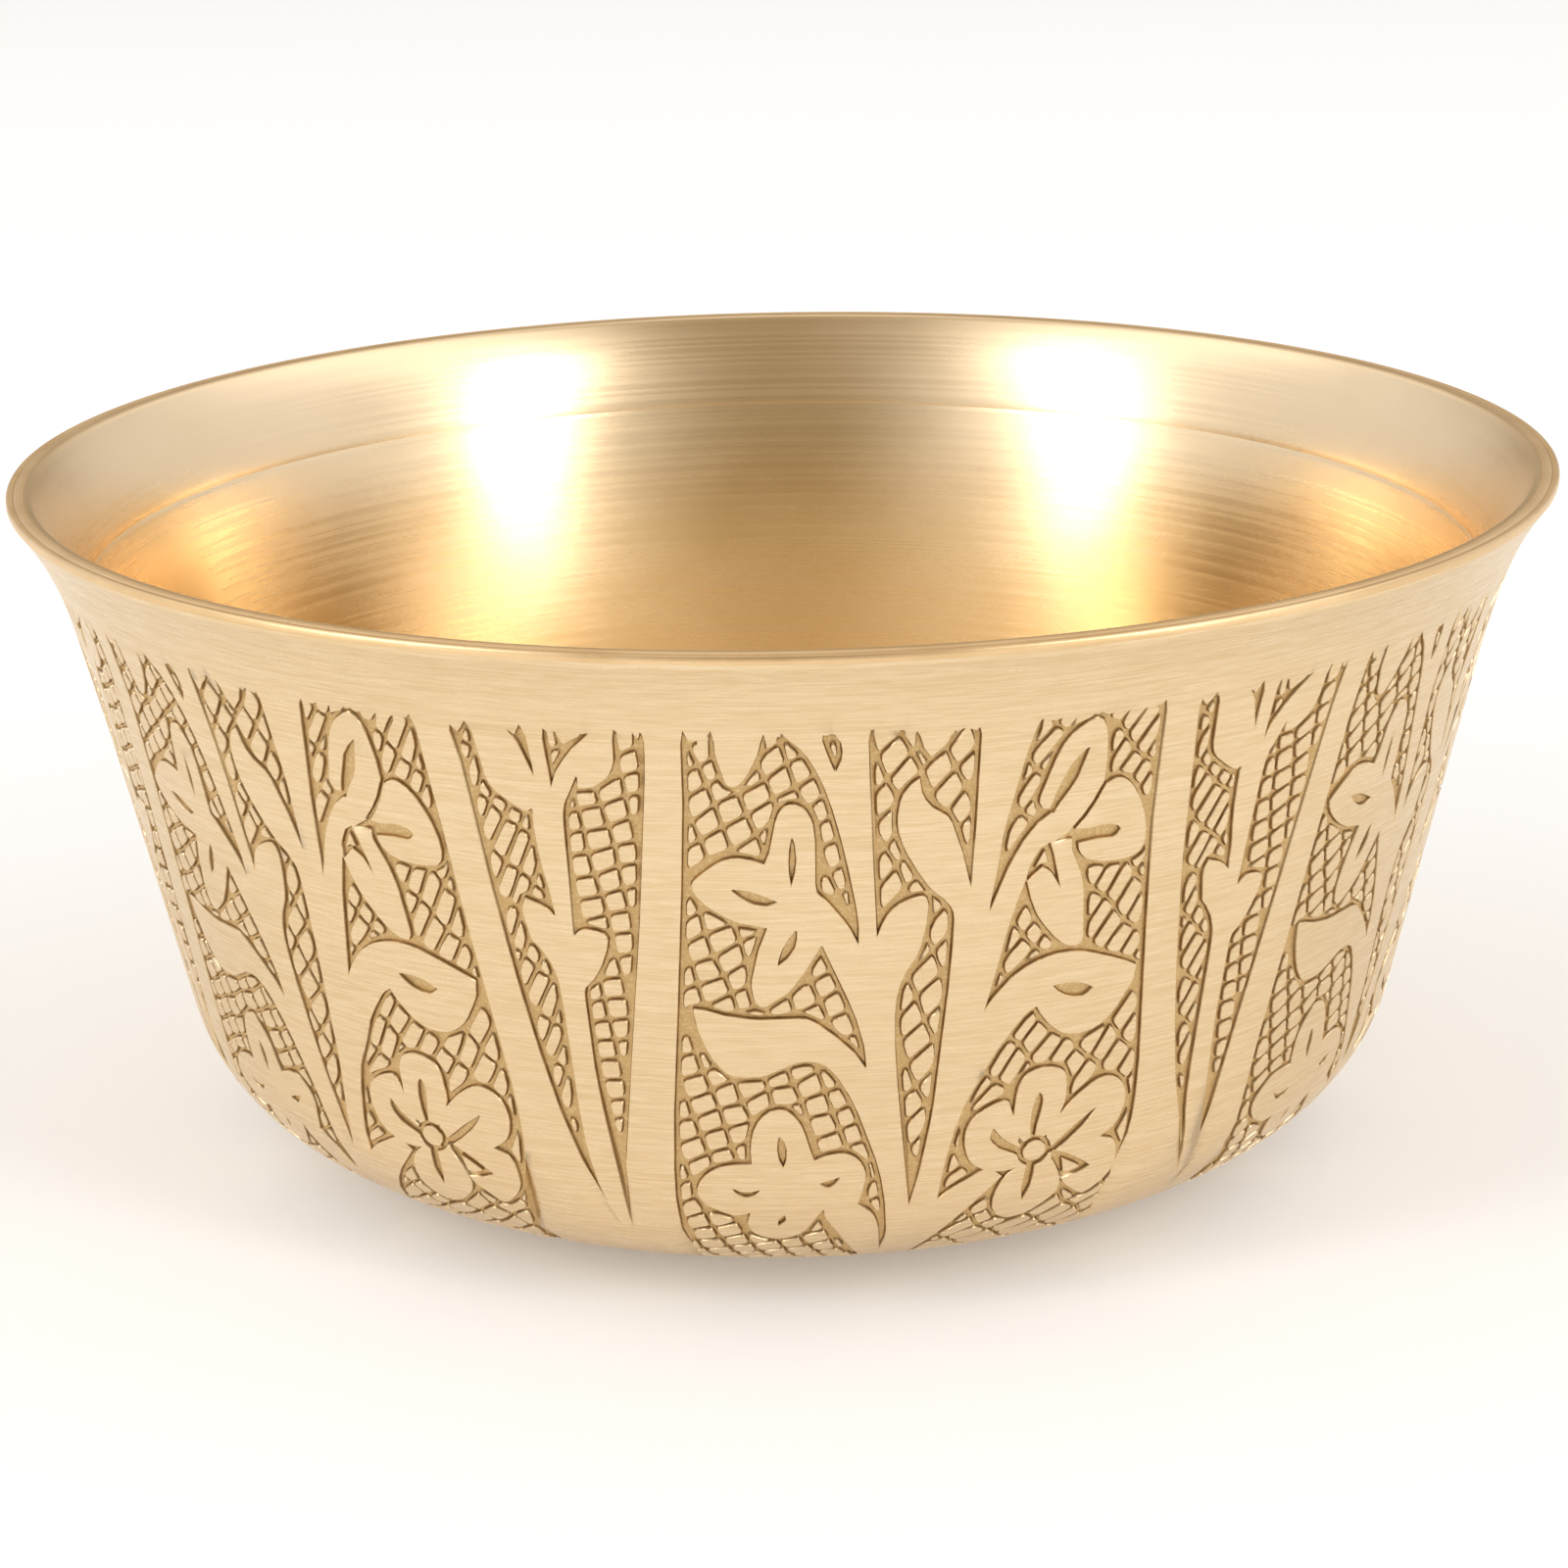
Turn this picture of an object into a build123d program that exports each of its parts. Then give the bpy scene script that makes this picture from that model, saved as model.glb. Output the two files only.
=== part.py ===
from build123d import *
import os
from math import cos, radians, sin, tan

os.makedirs("parts", exist_ok=True)

# Engraved brass bowl: one casting, turned inside and out, with a flared lip.
# Millimetres, +Z up. The origin is the centre of the flat base, and the bowl's
# own axis is Z. The engraving is too shallow to change how the bowl stands,
# stacks or holds, so the wall here is the smooth surface that it is cut into.

# ---- driving dimensions ----
RIM_DIAMETER = 120.0     # across the outside of the lip
HEIGHT = 53.0            # from the base to the flat land on top of the rim
BASE_DIAMETER = 56.0     # outside of the ring that the bowl stands on
WALL = 1.7               # side of the bowl, measured square to its surface
FLOOR = 2.4              # middle of the bowl, from the plane of the base up

SIDE_LEAN = 12.2         # degrees that the straight side leans out from upright
UNDERSIDE_RISE = 10.0    # degrees that the underside rises away from the base
HEEL_RADIUS = 13.0       # outside of the turn from the underside into the side
THROAT_RADIUS = 70.0     # slow flare above the straight side
THROAT_TURN = 6.0        # degrees of that flare
LIP_RADIUS = 22.0        # quick flare that throws the lip outwards
LIP_TURN = 19.0          # degrees of that flare
LIP_EDGE = 0.5           # height of the upright edge round the outside of the rim

RECESS_DIAMETER = 47.0   # shallow turned recess inside the base ring
RECESS_DEPTH = 0.8

INNER_RIM_ROUND = 0.3    # inner edge of the rim, which a drinker or a spoon meets
OUTER_RIM_ROUND = 0.15   # outer edge of the rim, only just broken
FLOOR_BLEND = 12.0       # soft turn from the flat floor into the rising side
BLEND_FILL = 0.9         # most of the slope beyond the floor that the blend may use
RECESS_ROUND = 0.25      # corners of the recess

# ---- directions of the outline, as angles above the horizontal ----
UNDERSIDE_ANGLE = UNDERSIDE_RISE
SIDE_ANGLE = 90.0 - SIDE_LEAN
THROAT_ANGLE = SIDE_ANGLE - THROAT_TURN
LIP_ANGLE = THROAT_ANGLE - LIP_TURN


def heading(angle):
    """Unit step outwards and upwards at an angle above the horizontal."""
    return Vector(cos(radians(angle)), sin(radians(angle)))


def bend(radius, start_angle, end_angle):
    """Step from one end to the other of an arc that turns between two headings."""
    turn = 1 if end_angle > start_angle else -1
    out = sin(radians(end_angle)) - sin(radians(start_angle))
    up = cos(radians(start_angle)) - cos(radians(end_angle))
    return Vector(out, up) * radius * turn


def straight_lengths():
    """Lengths of the straight underside and side that join the base to the rim."""
    rise = Vector((RIM_DIAMETER - BASE_DIAMETER) / 2, HEIGHT - LIP_EDGE)
    left = rise - bend(HEEL_RADIUS, UNDERSIDE_ANGLE, SIDE_ANGLE)
    left -= bend(THROAT_RADIUS, SIDE_ANGLE, THROAT_ANGLE)
    left -= bend(LIP_RADIUS, THROAT_ANGLE, LIP_ANGLE)
    underside = heading(UNDERSIDE_ANGLE)
    side = heading(SIDE_ANGLE)
    spread = underside.X * side.Y - underside.Y * side.X
    underside_length = (left.X * side.Y - left.Y * side.X) / spread
    side_length = (underside.X * left.Y - underside.Y * left.X) / spread
    return underside_length, side_length


def side_path(inset):
    """Base edge to lip, moved square to itself towards the inside by the inset."""
    underside_length, side_length = straight_lengths()
    inward = heading(UNDERSIDE_ANGLE + 90.0)
    start = Vector(BASE_DIAMETER / 2, 0) + inward * inset
    underside = Line(start, start + heading(UNDERSIDE_ANGLE) * underside_length)
    heel = JernArc(
        underside @ 1, underside % 1, HEEL_RADIUS - inset, SIDE_ANGLE - UNDERSIDE_ANGLE
    )
    side = Line(heel @ 1, (heel @ 1) + heading(SIDE_ANGLE) * side_length)
    throat = JernArc(side @ 1, side % 1, THROAT_RADIUS + inset, -THROAT_TURN)
    lip = JernArc(throat @ 1, throat % 1, LIP_RADIUS + inset, -LIP_TURN)
    return [underside, heel, side, throat, lip]


def turned(path, floor_level, top_level):
    """Solid turned about the axis between a side path and two flat levels."""
    foot = path[0] @ 0
    lip = path[-1] @ 1
    corners = [lip, (lip.X, top_level), (0, top_level), (0, floor_level), (foot.X, floor_level)]
    if floor_level < foot.Y:
        corners.append(foot)
    closing = Polyline(*corners)
    outline = make_face(Curve() + path + closing)
    return revolve(Plane.XZ * outline, Axis.Z)


def outer_body():
    """Everything inside the outer skin, up to the flat land on the rim."""
    return turned(side_path(0), 0, HEIGHT)


def widest_floor_blend():
    """Largest radius between floor and side that the slope beyond the floor takes."""
    underside_length, side_length = straight_lengths()
    rise = radians(UNDERSIDE_RISE)
    slope_under_floor = (FLOOR - WALL * cos(rise)) / sin(rise)
    slope_left = underside_length - slope_under_floor
    return BLEND_FILL * slope_left / tan(rise / 2)


def cavity():
    """Space that the bowl holds, open above the rim and flat over the floor."""
    path = side_path(WALL)
    lowest = (path[0] @ 0).Y
    space = turned(path, lowest, HEIGHT + WALL)
    reach = RIM_DIAMETER + HEIGHT
    above_floor = Pos(0, 0, FLOOR) * Cylinder(
        reach, reach, align=(Align.CENTER, Align.CENTER, Align.MIN)
    )
    space = space & above_floor
    floor_edge = space.edges().filter_by(GeomType.CIRCLE).sort_by(Axis.Z)[0]
    return fillet(floor_edge, min(FLOOR_BLEND, widest_floor_blend()))


def base_recess():
    """Shallow recess turned into the base, which leaves a ring to stand on."""
    disc = Cylinder(
        RECESS_DIAMETER / 2, RECESS_DEPTH, align=(Align.CENTER, Align.CENTER, Align.MIN)
    )
    roof_edge = disc.edges().filter_by(GeomType.CIRCLE).sort_by(Axis.Z)[-1]
    return fillet(roof_edge, RECESS_ROUND)


def round_rim(bowl):
    """Break both edges of the flat land on the rim."""
    land_edges = bowl.edges().filter_by(GeomType.CIRCLE).filter_by_position(
        Axis.Z, HEIGHT - 0.01, HEIGHT + 0.01
    )
    by_size = land_edges.sort_by(lambda edge: edge.radius)
    bowl = fillet(by_size[0], INNER_RIM_ROUND)
    outer = bowl.edges().filter_by(GeomType.CIRCLE).filter_by_position(
        Axis.Z, HEIGHT - 0.01, HEIGHT + 0.01
    ).sort_by(lambda edge: edge.radius)[-1]
    return fillet(outer, OUTER_RIM_ROUND)


def make_bowl():
    bowl = outer_body() - cavity() - base_recess()
    return round_rim(bowl)


bowl = make_bowl()
bowl.label = "bowl"
export_step(bowl, "parts/bowl.step")
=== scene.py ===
"""A turned brass bowl with a flared lip and a band of etched branches, leaves and flowers."""

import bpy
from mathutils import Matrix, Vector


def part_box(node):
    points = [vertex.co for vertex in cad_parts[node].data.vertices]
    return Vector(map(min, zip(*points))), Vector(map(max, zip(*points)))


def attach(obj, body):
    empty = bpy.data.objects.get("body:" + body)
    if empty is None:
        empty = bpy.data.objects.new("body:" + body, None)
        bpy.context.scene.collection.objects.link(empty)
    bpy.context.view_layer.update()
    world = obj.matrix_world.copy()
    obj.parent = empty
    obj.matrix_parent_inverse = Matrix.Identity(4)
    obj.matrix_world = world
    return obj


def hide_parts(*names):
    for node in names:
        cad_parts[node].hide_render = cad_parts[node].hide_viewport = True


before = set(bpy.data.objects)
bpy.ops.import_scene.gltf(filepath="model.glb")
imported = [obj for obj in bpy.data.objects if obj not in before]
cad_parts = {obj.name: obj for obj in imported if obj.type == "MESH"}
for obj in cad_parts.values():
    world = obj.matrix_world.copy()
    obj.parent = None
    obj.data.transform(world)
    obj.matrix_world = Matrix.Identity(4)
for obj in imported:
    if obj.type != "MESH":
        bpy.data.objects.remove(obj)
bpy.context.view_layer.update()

import math

import bpy
import numpy as np
from mathutils import Matrix, Vector
from mathutils.geometry import delaunay_2d_cdt

MM = 0.001

# The turned shape, in millimetres.
RIM_RADIUS = 60.0
HEIGHT = 53.0
BASE_RADIUS = 28.0
WALL = 1.7
FLOOR = 2.4
SIDE_LEAN = 12.2
UNDERSIDE_RISE = 10.0
HEEL_RADIUS = 13.0
THROAT_RADIUS = 70.0
THROAT_TURN = 6.0
LIP_RADIUS = 22.0
LIP_TURN = 19.0
LIP_EDGE = 0.5
LAND_INNER_RADIUS = 58.25
RECESS_RADIUS = 23.5
RECESS_DEPTH = 0.8
FLOOR_BLEND = 12.0
SCRIBED_DOWN = 7.8
SCRIBED_WIDTH = 0.12
SCRIBED_DEPTH = 0.02

# The etching, in millimetres and degrees. Distances down are measured along the wall.
REPEATS = 7
REPEAT = 360.0 / REPEATS
STEPS_EACH = 32
BAND_TOP = 5.0
BAND_FOOT = 57.5
SEAM_AT = 27.2
SEAM_SLOPE = 0.122
SEAM_FROM = 6.5
TOP_FADE = (6.2, 7.6)
FOOT_FADE = (55.0, 56.4)
CUT_DEPTH = 0.25
CUT_WALL = 0.10
BORDER = 0.42
HATCH = 0.37
ROUNDING = 0.34
PANEL_EDGE = 0.3

# The flat sheet that the etching is drawn on before it is wrapped round the wall.
GRID_STEP = 0.09
FLATTEN = 0.9
FAR = 0.85
TOP_SLACK = 0.033
FLOOR_SLACK = 0.046
SMALLEST_LOOP = 0.3
ROW_STEP = 1.5
FILL_CLEARANCE = 0.45
ON_EDGE = 1e-3

# Making the mesh, in metres and degrees.
WELD = 0.000002
SMOOTH_BELOW = 46

# The drawing of one repeat. Each place is (degrees round the bowl, millimetres down the wall
# from the rim); a third value marks a sharp corner, and the rest is a smooth curve.
TOP = 5.6
FOOT = 55.6

THORN_STRIP = [
    (-23.1, TOP, 1), (-22.5, 10), (-21.9, 18), (-21.1, 25), (-20.0, 32), (-18.8, 37.5),
    (-17.5, 41.5), (-16.0, 45.4), (-14.2, 50.3, 1), (-15.4, 46.6), (-16.3, 43.4), (-16.95, 40),
    (-17.2, 35), (-17.3, 29), (-17.45, 26.6), (-17.9, 25.2), (-18.35, 24.5), (-18.7, 24),
    (-19.1, 23.6), (-19.25, 23), (-19.45, 22), (-19.5, 21.1), (-19.2, 20.3, 1), (-18.3, 20.6),
    (-17.6, 21), (-17.0, 21.6, 1), (-17.2, 19.6), (-17.5, 18), (-17.7, 16), (-17.75, 14.2),
    (-17.7, 13.2, 1), (-18.1, 13.5), (-18.8, 13.2), (-19.6, 12.6), (-20.35, 12), (-20.75, 11.2),
    (-20.95, 9.5), (-21.1, 7.8), (-21.2, TOP, 1),
]
THORN_SPLIT = [
    (-18.6, 10.4, 1), (-18.15, 12), (-17.65, 13.6, 1), (-17.9, 13.7, 1), (-18.35, 12.3),
]
FORK_LEFT = [
    (-20.3, 6.3, 1), (-19.3, 6.75), (-18.5, 7.35), (-18.0, 8.1), (-17.55, 9.6), (-17.15, 10.9, 1),
    (-17.25, 8.6), (-17.35, TOP, 1), (-17.75, TOP, 1), (-17.85, 6.7), (-18.1, 7.4, 1),
    (-18.6, 6.95), (-19.4, 6.45),
]
FORK_RIGHT = [
    (-16.2, TOP, 1), (-16.15, 9), (-16.15, 11.7, 1), (-15.7, 10.4), (-15.0, 9.3), (-14.2, 8.3),
    (-13.3, 7.5), (-12.0, 6.5), (-11.6, TOP, 1),
]
LATTICE_STRIP = [
    (-11.4, TOP, 1), (-11.45, 8.8), (-11.8, 10), (-12.35, 10.7), (-13.2, 11.25), (-14.2, 11.4, 1),
    (-14.1, 10.2, 1), (-14.7, 11.5), (-15.25, 12.5), (-15.5, 13.5), (-15.65, 16), (-15.75, 20),
    (-15.9, 23.1, 1), (-15.2, 22.45), (-14.3, 22.4), (-13.5, 22.65), (-13.25, 23.1),
    (-13.45, 24), (-14.0, 25.3), (-14.7, 26.4), (-15.45, 27.2), (-15.5, 29), (-15.45, 33),
    (-15.2, 36.5), (-14.7, 41), (-14.3, 45), (-14.2, 50.3, 1), (-14.05, 46.5), (-13.7, 41.5),
    (-13.1, 37.5), (-12.25, 32), (-11.4, 26), (-10.6, 20.5), (-9.9, 14), (-9.4, 9.5),
    (-9.2, TOP, 1),
]
BLOSSOM_PANEL = [
    (-6.9, TOP, 1), (-4.65, TOP, 1), (-4.7, 8.3), (-4.4, 9.5), (-4.1, 10.7), (-3.6, 10.95),
    (-3.0, 10.5), (-2.3, 9.3), (-1.8, 7.9), (-1.6, TOP, 1), (-0.9, TOP, 1), (0.3, 7.4),
    (1.0, 8.2), (1.7, 9.4), (2.4, 11), (3.1, 13.2), (3.75, 15.8), (4.4, 18.8), (4.85, 21.4),
    (4.95, 23.5, 1), (4.3, 22.1), (3.4, 20.8), (2.5, 19.7), (1.95, 19.2), (1.8, 18.5),
    (1.8, 15.5), (1.65, 13.9), (1.2, 12.85), (0.5, 12.35), (-0.2, 12.45), (-0.75, 13.2),
    (-1.1, 14.8), (-1.35, 16.0), (-1.7, 16.9, 1), (-2.6, 16.55), (-3.6, 16.4), (-4.6, 16.6),
    (-5.6, 17.25), (-6.4, 17.9), (-6.85, 18.5), (-6.6, 19.3), (-5.8, 20.15), (-4.7, 20.9),
    (-3.4, 21.45), (-1.6, 21.8, 1), (-2.15, 23.1), (-2.6, 24.7), (-2.88, 26.2), (-2.7, 27.6),
    (-2.1, 28.1), (-1.3, 27.65), (-0.2, 26.9), (0.8, 25.6), (1.6, 24.3), (2.25, 23.2, 1),
    (3.1, 25.2), (4.0, 27.2), (4.8, 29.2), (5.45, 31.5), (5.7, 33.5, 1), (4.8, 32.1),
    (3.6, 30.9), (2.3, 29.8), (1.1, 29.1), (-0.6, 29.1), (-2.8, 29.1), (-5.0, 28.8),
    (-6.4, 28.4), (-7.3, 28.3, 1), (-7.15, 29.6), (-6.6, 31.3), (-5.9, 32.6), (-4.9, 33.6),
    (-3.6, 33.85), (-2.2, 33.7), (-0.8, 33.1), (0.4, 32.65), (1.6, 32.6), (2.7, 33.1),
    (3.8, 34.5), (4.9, 36.6), (5.9, 39.2), (6.7, 41.4), (7.2, 43.4), (7.6, 46), (7.85, 48.7),
    (7.7, 52, 1), (7.4, 50), (7.0, 47.3), (6.4, 45.9), (5.5, 45.15), (4.4, 44.85),
    (3.2, 44.9), (2.4, 45.4), (2.7, 46.5), (3.5, 47.8), (4.5, 49.8), (5.3, 51.6), (5.9, 53.3),
    (6.2, FOOT, 1), (-9.5, FOOT, 1), (-9.8, 49), (-9.8, 43), (-9.4, 37), (-8.75, 31),
    (-8.15, 25), (-7.6, 19), (-7.15, 13), (-6.95, 9),
]
TOP_CHIP = [
    (2.0, 6.5, 1), (2.5, 8.3), (3.15, 10.0, 1), (3.6, 8.8), (3.5, 7.6), (3.1, 6.6, 1),
    (2.5, 6.9),
]
PETAL_CUTS = [
    [(-4.2, 18.8, 1), (-3.2, 18.85), (-2.1, 19.2), (-0.8, 19.8, 1), (-1.6, 20.1),
     (-2.7, 19.9), (-3.5, 19.4)],
    [(0.25, 14.6, 1), (0.5, 16), (0.45, 17.3), (0.1, 18.7, 1), (-0.05, 17.2), (0.0, 15.8)],
    [(0.5, 21.9, 1), (0.4, 23.2), (-0.2, 24.2), (-1.0, 24.9, 1), (-0.7, 23.7), (-0.1, 22.6)],
]
BLOSSOM = [
    (-3.4, 41.2, 1), (-3.45, 39.8), (-3.1, 38.1), (-2.2, 36.9), (-1.1, 36.5), (-0.2, 36.85),
    (0.6, 37.9), (1.1, 39.4), (1.55, 40.9, 1), (2.7, 40.45), (4.0, 40.35), (5.1, 40.9),
    (5.75, 42.1), (5.6, 43.4), (5.1, 45.0, 1), (4.2, 44.85), (3.2, 44.9), (2.2, 45.4, 1),
    (1.6, 46.3), (0.9, 47.5), (0, 48.3), (-1.2, 48.7), (-2.6, 48.5), (-3.6, 47.8), (-4.0, 46.7),
    (-3.7, 45.5, 1), (-5.0, 45.8), (-6.4, 45.3), (-7.5, 44.6), (-8.0, 43.5), (-7.4, 42.3),
    (-6.2, 41.5), (-4.9, 41.2),
]
BLOSSOM_CUTS = [
    [(-1.15, 38.7, 1), (-0.65, 39.5), (-0.6, 40.6), (-0.85, 41.5, 1), (-1.25, 40.7), (-1.35, 39.5)],
    [(-5.3, 43.1, 1), (-4.5, 43.45), (-3.6, 43.5), (-2.7, 43.3, 1), (-3.5, 43.95), (-4.5, 43.9)],
    [(-0.85, 45.7, 1), (-0.8, 46.4), (-1.5, 47.1, 1), (-1.4, 46.3)],
    [(2.0, 42.85, 1), (2.9, 42.6), (3.8, 42.3, 1), (3.1, 43.1), (2.5, 43.2)],
]
BUD_PANEL = [
    (5.1, TOP, 1), (5.3, 8), (5.5, 12), (5.75, 16), (6.0, 20), (6.2, 22.9, 1), (6.7, 21.5),
    (7.4, 20.55), (8.5, 19.95), (9.5, 19.8), (9.85, 20.6), (9.7, 22.4), (9.2, 24.4),
    (8.4, 25.7), (7.85, 27.3), (7.7, 29.5), (7.85, 32.5), (8.3, 36.7), (8.8, 40.5),
    (9.2, 43.5), (9.5, 45.5, 1), (10.0, 43.3), (10.5, 40.5), (11.0, 37.3), (11.3, 33.5),
    (11.6, 29), (11.8, 24.5), (11.75, 21.4), (11.1, 20.3), (10, 19.3), (9.0, 17.9),
    (8.1, 16.3), (7.6, 15), (7.42, 13.7), (7.65, 12.1), (8.2, 11.2), (8.8, 10.75, 1),
    (9.05, 12.0), (9.8, 13.05), (10.9, 13.8), (11.5, 15), (12.1, 16.7), (12.6, 18.4),
    (12.95, 19.8, 1), (12.97, 16), (12.9, 11), (12.7, TOP, 1), (11.2, TOP, 1), (10.5, 8),
    (9.5, 9.1, 1), (8.9, 8.2), (8.3, TOP, 1),
]
NICK = [(13.8, 5.9, 1), (13.95, 7.4), (13.95, 9.0, 1), (13.75, 7.5)]
FLOWER_PANEL = [
    (16.8, TOP, 1), (16.5, 7.6), (16.05, 9.5), (15.6, 12), (15.0, 15.3), (14.7, 18.5),
    (14.25, 22.0, 1), (14.2, 26, 1), (14.35, 30.2, 1), (14.5, 33, 1), (15.1, 34.2), (14.2, 35.8),
    (13.4, 37.5), (12.6, 40.2), (12.05, 43), (11.85, 45.1, 1), (12.9, 44.2), (14.6, 43.3),
    (16.0, 42.8), (17.3, 43.6, 1), (16.2, 44.7, 1), (14.2, 46.9), (12.4, 49.5), (11.1, 52.2),
    (10.4, FOOT, 1), (27.5, FOOT, 1), (27.85, 50), (28.3, 46.5), (28.85, 42), (28.95, 39.5),
    (28.8, 36.5), (28.3, 32.5), (27.85, 28.5), (27.35, 24.5), (26.95, 20.5), (26.6, 16.5),
    (26.35, 12.5), (26.1, 8.5), (26.0, TOP, 1),
]
CURVED_LEAF = [
    (12.5, 24, 1), (14.25, 22.0, 1), (14.9, 20), (15.6, 18.1), (16.5, 16.3), (17.5, 15.0),
    (18.6, 14.15), (18.3, 13.95, 1), (17.7, 13.9), (17.4, 13.3), (17.65, 12.2), (18.1, 10.6),
    (18.7, 9.1), (19.5, 8.05), (20.5, 7.45), (21.2, 7.45), (21.7, 8.4), (21.95, 9.8), (22.1, 11.4),
    (22.0, 12.9), (21.4, 14.1), (20.8, 15.0), (20.25, 15.7), (19.3, 16.3), (18.4, 16.8),
    (17.8, 17.2), (17.2, 18.5), (16.6, 20.3), (16.05, 22.3), (15.6, 24.5), (15.1, 27),
    (14.7, 28.9), (14.35, 30.2, 1), (12.5, 28, 1),
]
CURVED_LEAF_CUT = [
    (18.2, 14.35, 1), (18.3, 13.6), (18.75, 12.3), (19.3, 10.9), (20.0, 10.0), (20.7, 9.4, 1),
    (20.45, 10.4), (20.1, 11.8), (19.6, 12.8), (18.95, 13.7), (18.6, 14.4, 1),
]
ROUND_LEAF = [
    (20.3, 15.75, 1), (21.0, 14.8), (21.7, 13.55), (22.3, 12.7), (23.2, 12.3), (24.1, 12.75),
    (25.0, 13.9), (25.7, 15.4), (26.1, 17.2), (25.75, 18.4), (24.6, 18.75), (22.9, 18.7),
    (21.5, 18.3), (20.85, 17.6), (20.7, 16.9, 1), (20.4, 16.4),
]
ROUND_LEAF_CUT = [
    (20.2, 15.8, 1), (21.3, 15.95), (22.6, 15.8), (23.6, 16.0), (23.95, 16.45), (23.4, 16.9),
    (22.2, 16.85), (20.6, 17.0, 1),
]
STRAIGHT_LEAF = [
    (17.0, 19.3, 1), (17.5, 20.9), (18.1, 22.2), (18.9, 23.3), (19.8, 24.3), (20.7, 24.95),
    (21.6, 25.1), (21.95, 24.5), (21.8, 22.8), (21.55, 20.8), (21.2, 19.5), (20.6, 18.1),
    (20.2, 17.3), (20.15, 16.6), (19.6, 16.6), (18.7, 16.8), (18.2, 17.6), (17.5, 18.6),
]
STRAIGHT_LEAF_CUT = [
    (18.5, 16.6, 1), (18.9, 17.6), (19.25, 18.9), (19.7, 20.3), (20.05, 21.4, 1), (19.4, 19.9),
    (18.8, 18.95), (18.1, 18.45, 1), (17.6, 18.9), (17.0, 19.5, 1), (17.1, 18.3), (17.8, 17.0, 1),
]
LEAF_CHIP = [(18.15, 17.2, 1), (18.5, 18.2, 1), (18.0, 18.15), (17.55, 18.45, 1)]
LONG_LEAF = [
    (12.5, 31.5, 1), (14.35, 30.2, 1), (14.9, 28.9), (15.7, 27.9), (16.8, 26.8), (18.2, 26),
    (20.0, 25.55), (22.0, 25.65), (24.0, 26.3), (26.0, 27.1), (27.0, 27.6, 1), (26.85, 28.8),
    (26.2, 30), (25.4, 31.2), (24.2, 32.1), (22.8, 32.4), (21.4, 32.2), (20.2, 31.4),
    (19.3, 30.4), (18.8, 29.6, 1), (18.0, 30.1), (16.9, 31.4), (15.9, 32.8), (15.1, 34.2),
    (14.0, 36.2, 1), (12.0, 36, 1),
]
LONG_LEAF_CUT = [
    (19.9, 28.1, 1), (21, 28.05), (22.2, 28.2), (23.5, 28.8, 1), (22.6, 29.35), (21.5, 29.2),
    (20.6, 28.75),
]
TOP_PETAL = [
    (19.0, 41.0, 1), (18.4, 40.4), (18.0, 39.4), (17.85, 37.8), (18.0, 36.2), (18.6, 35.2),
    (19.7, 34.8), (21.0, 34.95), (21.9, 35.5), (22.2, 36.8), (22.15, 38.3), (21.5, 39.6),
    (20.9, 40.6, 1), (20.0, 41.2),
]
LEFT_PETAL = [
    (18.4, 40.8, 1), (18.1, 39.6), (17.65, 38.2), (17.2, 37.2), (16.2, 37.25), (14.9, 37.9),
    (14.0, 38.9), (13.8, 40.2), (14.3, 41.8), (15.4, 42.7), (16.8, 43.1), (18.1, 43.1),
    (19.1, 42.5, 1), (18.9, 41.5),
]
RIGHT_PETAL = [
    (20.9, 41.0, 1), (21.4, 39.7), (22.5, 38.4), (23.8, 37.3), (25.3, 36.55), (26.7, 36.8),
    (27.7, 37.9), (27.9, 39.4), (27.3, 40.8), (25.9, 41.75, 1), (27.2, 42.1), (27.75, 43),
    (27.85, 44.6), (27.1, 45.9), (25.6, 46.95), (24.3, 46.2), (23.2, 45.3), (22.6, 44.2),
    (21.8, 42.9), (20.9, 42.3, 1),
]
FOOT_PETAL = [
    (19.1, 42.7, 1), (18.2, 43.2), (17.3, 44.1), (16.85, 45.5), (17.0, 46.8), (17.8, 47.9),
    (19.0, 48.4), (20.4, 48.1), (21.7, 47.2), (22.7, 46.1), (22.75, 44.9), (22.2, 43.7),
    (21.4, 42.6), (20.3, 42.9),
]
FLOWER_EYE = (19.95, 41.8)
FLOWER_EYE_RADIUS = 0.85
FLOWER_EYE_CUT = 0.42
FLOWER_CUTS = [
    [(19.6, 41.0, 1), (19.35, 39.8), (19.35, 38.3), (19.6, 37.2), (19.95, 36.9), (20.25, 37.5),
     (20.2, 38.5), (19.95, 39.6), (19.85, 41.0, 1)],
    [(18.9, 41.5, 1), (17.9, 40.9), (17.0, 40.3), (16.15, 39.3, 1), (15.95, 40.2), (16.8, 41.15),
     (18.0, 41.7), (18.9, 42.2, 1)],
    [(21.0, 42.0, 1), (22.0, 41.3), (23.4, 40.2), (25.4, 38.9, 1), (24.4, 40.2), (23.1, 41.3),
     (21.9, 42.1), (21.0, 42.3, 1)],
    [(19.5, 42.5, 1), (19.3, 43.6), (19.25, 45), (19.6, 46.5, 1), (20.0, 45.2), (20.15, 43.8),
     (20.1, 42.5, 1)],
    [(21.6, 42.0, 1), (22.9, 42.5), (24.2, 43.2), (25.5, 44.1, 1), (24.2, 44.6), (22.9, 44.8, 1),
     (22.4, 43.8), (21.6, 42.7, 1)],
]
EYE_CHIP = [(22.6, 42.9, 1), (23.9, 43.6), (24.4, 43.95, 1), (23.5, 44.25), (22.9, 44.2, 1)]
LEAF_PARTING = [(22.1, 12.75), (21.55, 13.95), (20.9, 14.95), (20.15, 15.8)]
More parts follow.
